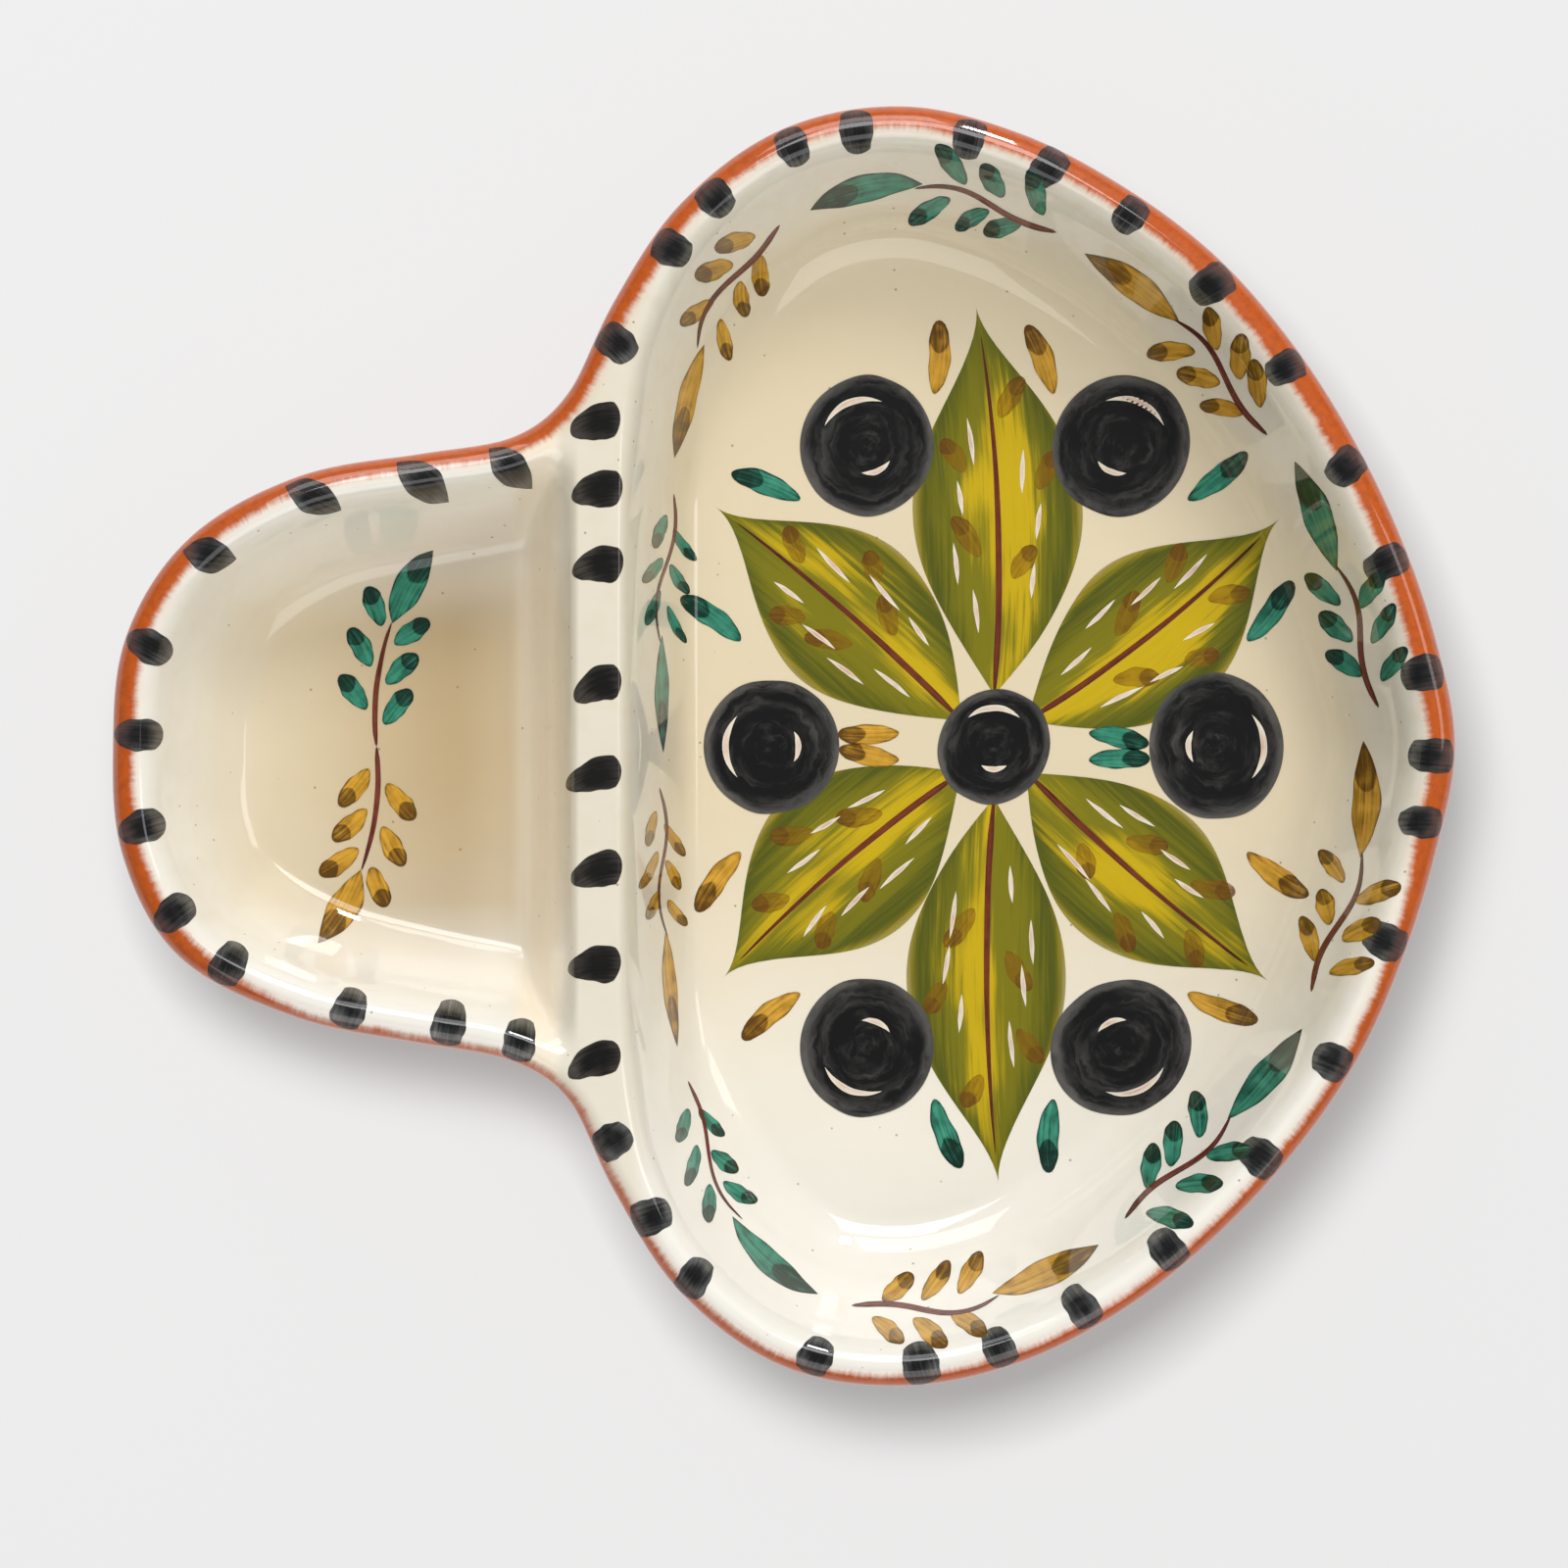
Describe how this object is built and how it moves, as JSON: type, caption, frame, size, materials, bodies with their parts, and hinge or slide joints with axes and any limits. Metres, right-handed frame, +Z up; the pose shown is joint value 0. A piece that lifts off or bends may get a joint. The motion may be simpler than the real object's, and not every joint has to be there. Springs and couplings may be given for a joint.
{
  "type": "olive dish",
  "caption": "Shallow glazed terracotta dish for olives: a large rounded bowl with a smaller bowl for the stones joined to its side, white inside with a bare clay edge and painted dabs.",
  "frame": {"origin": "on the table, under the middle of the dish's length and width", "axes": "+X from the pit bowl to the main bowl along the length, +Y across the width, +Z up out of the wells"},
  "size_m": [0.2053, 0.1956, 0.0345],
  "materials": {
    "terracotta": "clear gloss glaze over terracotta",
    "white_slip": "clear gloss glaze over white slip",
    "black_paint": "brushed black under gloss glaze",
    "teal_paint": "brushed teal under gloss glaze",
    "ochre_paint": "brushed ochre under gloss glaze",
    "olive_paint": "brushed olive green under gloss glaze",
    "brown_paint": "brushed brown under gloss glaze",
    "cream_paint": "thin cream strokes under gloss glaze"
  },
  "bodies": {
    "root": {"main_bowl": "terracotta", "pit_bowl": "terracotta", "main_foot": "terracotta", "pit_foot": "terracotta", "main_slip": "white_slip", "pit_slip": "white_slip"}
  },
  "joints": []
}
